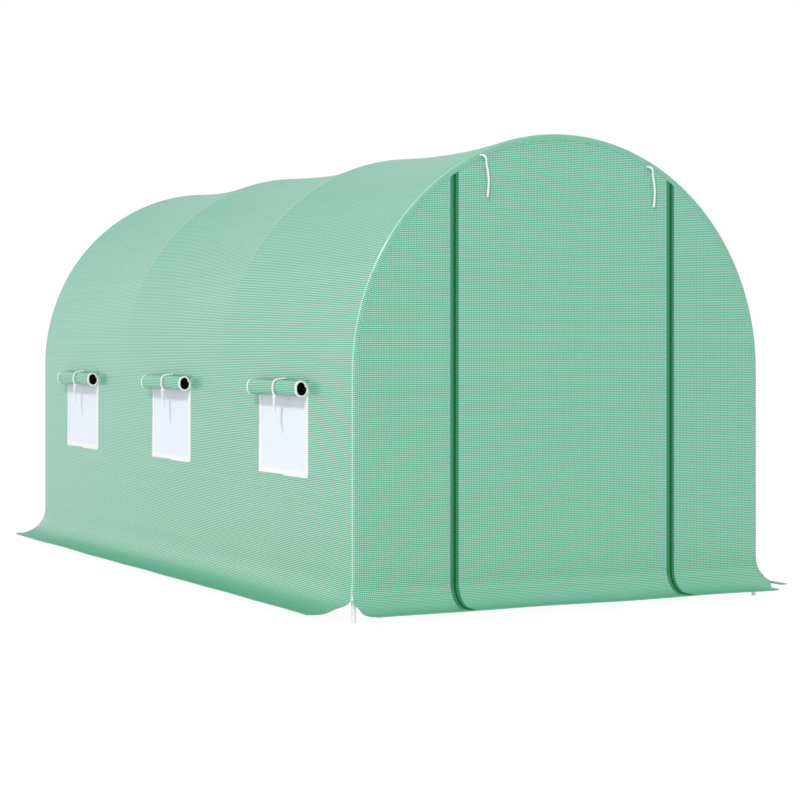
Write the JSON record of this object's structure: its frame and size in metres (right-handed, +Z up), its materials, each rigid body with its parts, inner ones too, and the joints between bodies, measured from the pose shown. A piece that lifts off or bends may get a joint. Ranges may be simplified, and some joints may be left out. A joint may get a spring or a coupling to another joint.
{
  "type": "polytunnel greenhouse",
  "caption": "Walk-in polytunnel: hooped steel tube frame under a green woven cover with a zipped door, mesh side windows under rolled flaps, and ground flaps.",
  "frame": {"origin": "on the ground, under the middle of the tunnel's plan", "axes": "+X to the right as seen facing the door, +Y along the tunnel from the door end to the back end, +Z up"},
  "size_m": [2.336, 4.336, 2],
  "materials": {
    "galvanised_tube": "dull zinc",
    "cover": "woven polyethylene with a square reinforcing grid",
    "zip_tape": "woven tape",
    "white_tape": "smooth woven tape",
    "screen_mesh": "fine insect mesh",
    "white_cord": "braided cord"
  },
  "bodies": {
    "root": {"right_legs": "galvanised_tube", "left_legs": "galvanised_tube", "right_arches": "galvanised_tube", "left_arches": "galvanised_tube", "ridge_purlin": "galvanised_tube", "right_shoulder_purlin": "galvanised_tube", "left_shoulder_purlin": "galvanised_tube", "right_base_rail": "galvanised_tube", "left_base_rail": "galvanised_tube", "roof_bay_1": "cover", "roof_bay_2": "cover", "roof_bay_3": "cover", "left_wall": "cover", "right_wall": "cover", "left_flap": "cover", "right_flap": "cover", "door_panel": "cover", "front_right_panel": "cover", "front_left_panel": "cover", "door_flap": "cover", "front_right_flap": "cover", "front_left_flap": "cover", "back_panel": "cover", "back_flap": "cover", "front_piping": "cover", "back_piping": "cover", "left_window_rolls": "cover", "right_window_rolls": "cover", "right_zip": "zip_tape", "left_zip": "zip_tape", "left_window_borders": "white_tape", "right_window_borders": "white_tape", "left_window_screens": "screen_mesh", "right_window_screens": "screen_mesh", "left_door_tie": "white_cord", "right_door_tie": "white_cord", "left_window_tie_1": "white_cord", "right_window_tie_1": "white_cord", "left_window_tail_1": "white_cord", "right_window_tail_1": "white_cord", "left_window_tie_2": "white_cord", "right_window_tie_2": "white_cord", "left_window_tail_2": "white_cord", "right_window_tail_2": "white_cord", "left_window_tie_3": "white_cord", "right_window_tie_3": "white_cord", "left_window_tail_3": "white_cord", "right_window_tail_3": "white_cord"}
  },
  "joints": []
}
